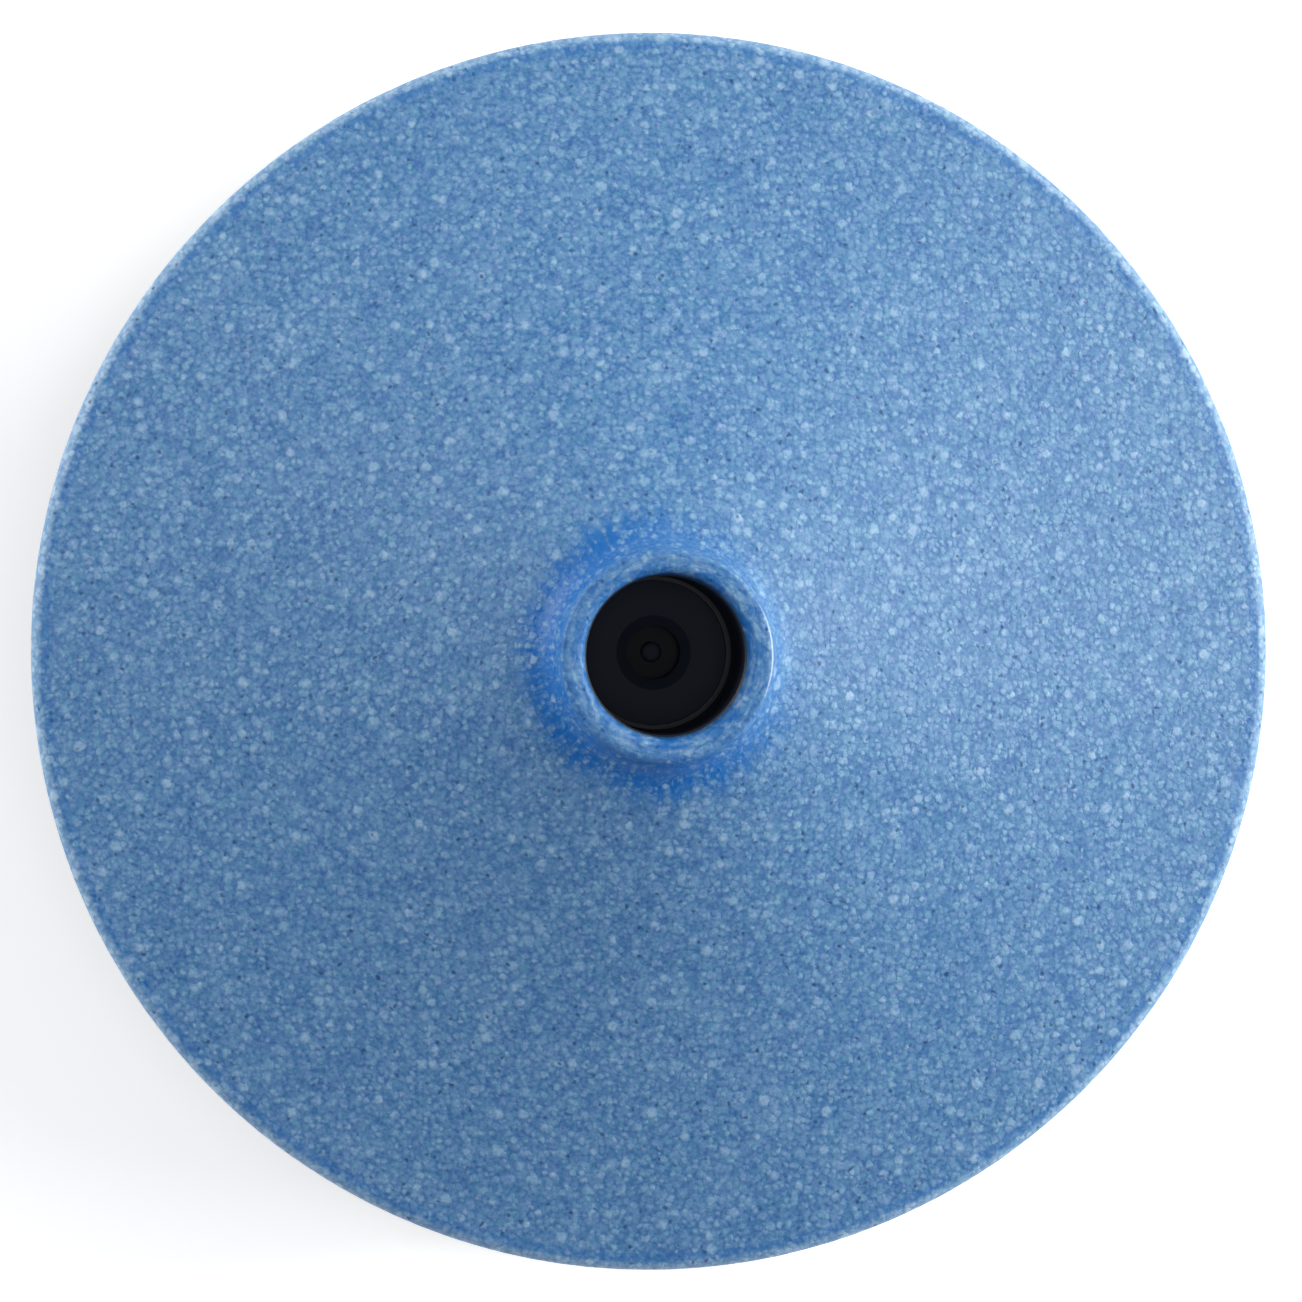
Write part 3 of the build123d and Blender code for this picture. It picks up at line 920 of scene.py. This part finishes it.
def cast_iron():
    """Cast iron, dipped in dark paint: the sand's pitting shows through the coat."""
    finish, tree = new_finish("cast_iron")
    place = add_node(tree, "ShaderNodeTexCoord").outputs["Object"]
    # pits are as wide as two or three grains of moulding sand, 0.9 mm
    sand = add_node(
        tree, "ShaderNodeTexNoise", {"Vector": place, "Scale": 1 / (0.9 * MM), "Detail": 5.0}
    ).outputs["Fac"]
    colour = add_node(
        tree,
        "ShaderNodeMix",
        {"Factor": sand, "A": linear("#2A2A2C"), "B": linear("#47474A")},
        data_type="RGBA",
    ).outputs["Result"]
    relief = add_node(
        tree, "ShaderNodeBump", {"Height": sand, "Distance": 0.15 * MM, "Strength": 0.8}
    ).outputs["Normal"]
    shader = add_node(
        tree,
        "ShaderNodeBsdfPrincipled",
        {"Base Color": colour, "Metallic": 0.0, "Roughness": 0.6, "Normal": relief},
    )
    add_node(tree, "ShaderNodeOutputMaterial", {"Surface": shader.outputs["BSDF"]})
    return finish


def cured_epoxy():
    """Black epoxy, cured in the joint: satin, with small trapped bubbles."""
    finish, tree = new_finish("cured_epoxy")
    place = add_node(tree, "ShaderNodeTexCoord").outputs["Object"]
    # bubbles 0.4 mm wide lie about 0.8 mm apart
    bubbles = add_node(
        tree, "ShaderNodeTexVoronoi", {"Vector": place, "Scale": 1 / (0.8 * MM)}
    ).outputs["Distance"]
    pit = add_node(
        tree, "ShaderNodeMapRange", {"Value": bubbles, "From Min": 0.0, "From Max": 0.25}
    ).outputs["Result"]
    colour = add_node(
        tree,
        "ShaderNodeMix",
        {"Factor": pit, "A": linear("#2A3644"), "B": linear("#161D28")},
        data_type="RGBA",
    ).outputs["Result"]
    shader = add_node(
        tree,
        "ShaderNodeBsdfPrincipled",
        {"Base Color": colour, "Roughness": 0.4, "IOR": 1.5},
    )
    add_node(tree, "ShaderNodeOutputMaterial", {"Surface": shader.outputs["BSDF"]})
    return finish


# ------------------------------------------------------------------ pieces


class AIRSTONE_OT_stone(bpy.types.Operator):
    """Model the porous stone: cone, rim, collar and the boss round the stem"""

    bl_idname = "airstone.stone"
    bl_label = "Porous stone"

    def execute(self, context):
        s = context.scene.air_stone
        top_z, low_z = STONE_HIGH.z, STONE_LOW.z
        rim_z = low_z + s.rim_height
        sleeve_radius = SLEEVE_HIGH.x
        flare = (STONE_RADIUS - s.collar_radius) / (sin(s.apex_slope) - sin(s.rim_slope))
        centre = (
            STONE_RADIUS + flare * sin(s.rim_slope),
            rim_z + flare * cos(s.rim_slope),
        )

        def face_point(slope, depth=0.0):
            """A point of the cone's face, or under it, where the face has this slope."""
            reach = flare + depth
            return centre[0] - reach * sin(slope), centre[1] - reach * cos(slope)

        def slope_at(radius, depth=0.0):
            """The face's slope at this radius, or that of a face this far under it."""
            return asin((centre[0] - radius) / (flare + depth))

        # the rim's rounding touches the wall and the cone's face
        rim_centre_r = STONE_RADIUS - s.rim_round
        reach = flare + s.rim_round
        rim_centre_z = centre[1] - sqrt(reach**2 - (centre[0] - rim_centre_r) ** 2)
        rim_angle = atan2(centre[1] - rim_centre_z, centre[0] - rim_centre_r)
        rim_arc = arc((rim_centre_r, rim_centre_z), s.rim_round, 0.0, rim_angle, count=8)
        # the hollow between the cone's face and the collar's wall
        hollow_r = s.collar_radius + s.collar_hollow
        reach = flare - s.collar_hollow
        hollow_z = centre[1] - sqrt(reach**2 - (centre[0] - hollow_r) ** 2)
        hollow_angle = atan2(hollow_z - centre[1], hollow_r - centre[0])
        hollow_arc = arc((hollow_r, hollow_z), s.collar_hollow, hollow_angle, -pi, count=9)
        # the face itself, from the rim's rounding to the hollow
        first = slope_at(rim_arc[-1][0])
        last = slope_at(hollow_arc[0][0])
        face_steps = 86
        face = [face_point(first + (last - first) * i / face_steps) for i in range(1, face_steps)]

        # the collar's two rounded edges
        outer_round = 0.5 * MM
        inner_round = 0.7 * MM
        outer_centre = (s.collar_radius - outer_round, top_z - outer_round)
        inner_centre = (s.lip_radius + inner_round, top_z - inner_round)
        collar_top = arc(outer_centre, outer_round, 0.0, pi / 2, count=4)
        collar_top += arc(inner_centre, inner_round, pi / 2, pi, count=5)
        # the rim's wall, up from its rounded lower edge
        lower_round = 0.6 * MM
        wall_low = low_z + lower_round
        wall_steps = 14
        wall_face = [
            (STONE_RADIUS, wall_low + (rim_centre_z - wall_low) * i / wall_steps)
            for i in range(1, wall_steps)
        ]
        lower_edge = arc((STONE_RADIUS - lower_round, wall_low), lower_round, -pi / 2, 0.0, count=4)
        # the shell's inner face, from the boss out to the wall
        inner_wall = STONE_RADIUS - s.wall
        inner_first = slope_at(s.boss_radius, s.wall)
        inner_last = slope_at(inner_wall, s.wall)
        inner_steps = 6
        inner_face = [
            face_point(inner_first + (inner_last - inner_first) * i / inner_steps, s.wall)
            for i in range(inner_steps + 1)
        ]
        outline = (
            wall_face
            + rim_arc
            + face
            + hollow_arc
            + collar_top
            + [(s.lip_radius - s.lip_draft, STEM_TOP), (sleeve_radius, STEM_TOP)]
            + [(sleeve_radius, SLEEVE_LOW.z), (s.boss_radius, SLEEVE_LOW.z)]
            + inner_face
            + [(inner_wall, low_z)]
            + lower_edge
        )
        # a step at the rim is a little shorter than a grain
        stone = lathe("stone_dome", outline, steps=640)

        # only the skin that shows is rough; the seats and the inside stay true
        skin_depth = 1.5 * MM
        wall_margin = 0.3 * MM
        lip_margin = 0.2 * MM
        rough = []
        for vertex in stone.data.vertices:
            radius = hypot(vertex.co.x, vertex.co.y)
            face_z = face_point(slope_at(min(radius, STONE_RADIUS)))[1]
            outside = vertex.co.z > face_z - skin_depth or radius > STONE_RADIUS - wall_margin
            if outside and radius > s.lip_radius - lip_margin and vertex.co.z > wall_low:
                rough.append(vertex.index)
        skin = stone.vertex_groups.new(name="skin")
        skin.add(rough, 1.0, "REPLACE")
        # soft dents, then the grains themselves
        dent_width = 4.0 * MM
        bump_width = 1.6 * s.grain
        for kind, width, depth in (
            ("CLOUDS", dent_width, 1.2 * s.relief),
            ("VORONOI", bump_width, s.relief),
        ):
            pattern = bpy.data.textures.new(f"stone_{kind.lower()}", kind)
            pattern.noise_scale = width
            bumps = stone.modifiers.new(kind.lower(), "DISPLACE")
            bumps.texture = pattern
            bumps.texture_coords = "LOCAL"
            bumps.vertex_group = skin.name
            bumps.mid_level = 1.0
            bumps.strength = depth
            bpy.ops.object.modifier_apply(modifier=bumps.name)
        bpy.ops.object.shade_smooth_by_angle(angle=SMOOTH_ANGLE)
        give_finish(stone, bonded_grain_stone(s))
        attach(stone, "diffuser")
        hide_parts("porous_stone")
        return {"FINISHED"}


class AIRSTONE_OT_spring(bpy.types.Operator):
    """Wind the valve's spring"""

    bl_idname = "airstone.spring"
    bl_label = "Valve spring"

    def execute(self, context):
        s = context.scene.air_stone
        low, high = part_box("valve_spring")
        wire_radius = s.spring_wire / 2
        wire_sides = 14
        steps_per_turn = 48
        height = high.z - low.z
        spring = start_piece(
            "spring_coil",
            bpy.ops.mesh.primitive_circle_add,
            radius=wire_radius,
            vertices=wire_sides,
            fill_type="NOTHING",
            location=(high.x - wire_radius, 0, low.z + wire_radius),
            rotation=(pi / 2, 0, 0),
        )
        bpy.ops.object.transform_apply(location=True, rotation=True, scale=True)
        winding = spring.modifiers.new("winding", "SCREW")
        winding.axis = "Z"
        winding.steps = steps_per_turn
        winding.render_steps = steps_per_turn
        winding.iterations = s.spring_turns
        winding.screw_offset = (height - s.spring_wire) / s.spring_turns
        bpy.ops.object.modifier_apply(modifier=winding.name)
        bpy.ops.object.mode_set(mode="EDIT")
        bpy.ops.mesh.select_all(action="SELECT")
        bpy.ops.mesh.fill_holes(sides=0)
        bpy.ops.mesh.select_all(action="SELECT")
        bpy.ops.mesh.normals_make_consistent(inside=False)
        bpy.ops.object.mode_set(mode="OBJECT")
        bpy.ops.object.shade_smooth_by_angle(angle=SMOOTH_ANGLE)
        give_finish(spring, frame["nodes"]["valve_spring"].material_slots[0].material)
        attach(spring, "diffuser")
        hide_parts("valve_spring")
        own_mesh(spring)
        return {"FINISHED"}


class AIRSTONE_OT_finishes(bpy.types.Operator):
    """Give each piece that comes straight from the frame its finish"""

    bl_idname = "airstone.finishes"
    bl_label = "Finishes"

    def execute(self, context):
        slots = {row["node"]: row["material_slot"] for row in frame["record"]["subparts"]}
        finishes = {
            "black_abs": moulded_abs(),
            "black_acetal": smooth_acetal(),
            "black_rubber": moulded_rubber(),
            "stainless_steel": stainless_steel(),
            "cast_ballast": cast_iron(),
            "epoxy": cured_epoxy(),
        }
        for name, node in frame["nodes"].items():
            if slots[name] in finishes:
                for slot in node.material_slots:
                    slot.material = finishes[slots[name]]
        socket = smooth_abs()
        for slot in frame["nodes"]["inlet_stem"].material_slots:
            slot.material = socket
        return {"FINISHED"}


class AIRSTONE_OT_stage(bpy.types.Operator):
    """Lay the pale floor and set the soft light and the camera"""

    bl_idname = "airstone.stage"
    bl_label = "Stage"

    def execute(self, context):
        s = context.scene.air_stone_stage
        floor = start_piece(
            "floor",
            bpy.ops.mesh.primitive_circle_add,
            radius=FLOOR_RADIUS,
            vertices=96,
            fill_type="NGON",
        )
        # opal sheet, lit from below: matt, white, with a glow of its own
        finish, tree = new_finish("lit_opal_table")
        shader = add_node(
            tree,
            "ShaderNodeBsdfPrincipled",
            {
                "Base Color": linear(s.table_colour),
                "Roughness": 0.9,
                "Emission Color": linear(s.table_colour),
                "Emission Strength": s.table_light,
            },
        )
        add_node(tree, "ShaderNodeOutputMaterial", {"Surface": shader.outputs["BSDF"]})
        give_finish(floor, finish)
        floor.location.z = FLOOR_Z - FLOOR_GAP

        world = bpy.data.worlds.new("soft_room")
        context.scene.world = world
        world.use_nodes = True
        world.node_tree.nodes.clear()
        sky = add_node(
            world.node_tree,
            "ShaderNodeBackground",
            {"Color": linear(s.room_colour), "Strength": s.room_light},
        )
        add_node(world.node_tree, "ShaderNodeOutputWorld", {"Surface": sky.outputs["Background"]})

        powers = {
            "key_light": s.key_power,
            "fill_light": s.fill_power,
            "top_light": s.top_power,
            "edge_light": s.edge_power,
        }
        for name, power in powers.items():
            self.add_light(name, power, linear(s.lamp_colour)[:3])

        aim = Vector((AIM_X, AIM_Y, STONE_LOW.z + context.scene.air_stone.rim_height))
        away = Vector(
            (
                sin(s.lean) * cos(s.lean_towards),
                sin(s.lean) * sin(s.lean_towards),
                cos(s.lean),
            )
        )
        lens = bpy.data.cameras.new("camera")
        camera = bpy.data.objects.new("camera", lens)
        context.scene.collection.objects.link(camera)
        camera.location = aim + s.distance * away
        camera.rotation_mode = "QUATERNION"
        camera.rotation_quaternion = upright(away)
        lens.sensor_width = 36.0
        lens.lens = VIEW_SHARE * lens.sensor_width * s.distance / (2 * STONE_RADIUS)
        lens.clip_start = 0.01
        lens.clip_end = 10.0
        context.scene.camera = camera
        context.scene.view_settings.view_transform = "Standard"
        return {"FINISHED"}

    def add_light(self, name, power, colour):
        """A square soft box at its place in LAMPS, looking at the middle of the stone's foot."""
        direction, elevation, distance, size = LAMPS[name]
        towards = radians(direction)
        height = radians(elevation)
        target = Vector((0, 0, STONE_LOW.z))
        lamp = bpy.data.lights.new(name, "AREA")
        lamp.color = colour
        lamp.size = size
        lamp.energy = power
        box = bpy.data.objects.new(name, lamp)
        bpy.context.scene.collection.objects.link(box)
        away = Vector((cos(height) * cos(towards), cos(height) * sin(towards), sin(height)))
        box.location = target + distance * away
        box.rotation_mode = "QUATERNION"
        box.rotation_quaternion = upright(away)


class AIRSTONE_PT_panel(bpy.types.Panel):
    """Buttons for the pieces, in building order"""

    bl_idname = "AIRSTONE_PT_panel"
    bl_label = "Air stone"
    bl_space_type = "VIEW_3D"
    bl_region_type = "UI"
    bl_category = "Air stone"

    def draw(self, context):
        for operator in OPERATORS:
            self.layout.operator(operator.bl_idname)


OPERATORS = (
    AIRSTONE_OT_stone,
    AIRSTONE_OT_finishes,
    AIRSTONE_OT_spring,
    AIRSTONE_OT_stage,
)
CLASSES = (StoneSettings, StageSettings, *OPERATORS, AIRSTONE_PT_panel)


def register():
    """Registers the classes and hangs the settings on the scene."""
    for cls in CLASSES:
        bpy.utils.register_class(cls)
    bpy.types.Scene.air_stone = bpy.props.PointerProperty(type=StoneSettings)
    bpy.types.Scene.air_stone_stage = bpy.props.PointerProperty(type=StageSettings)


def unregister():
    """Takes away what register added."""
    del bpy.types.Scene.air_stone_stage
    del bpy.types.Scene.air_stone
    for cls in reversed(CLASSES):
        bpy.utils.unregister_class(cls)


def main():
    """Builds everything in order."""
    register()
    bpy.ops.airstone.stone()
    bpy.ops.airstone.finishes()
    bpy.ops.airstone.spring()
    bpy.ops.airstone.stage()


if __name__ == "__main__":
    main()
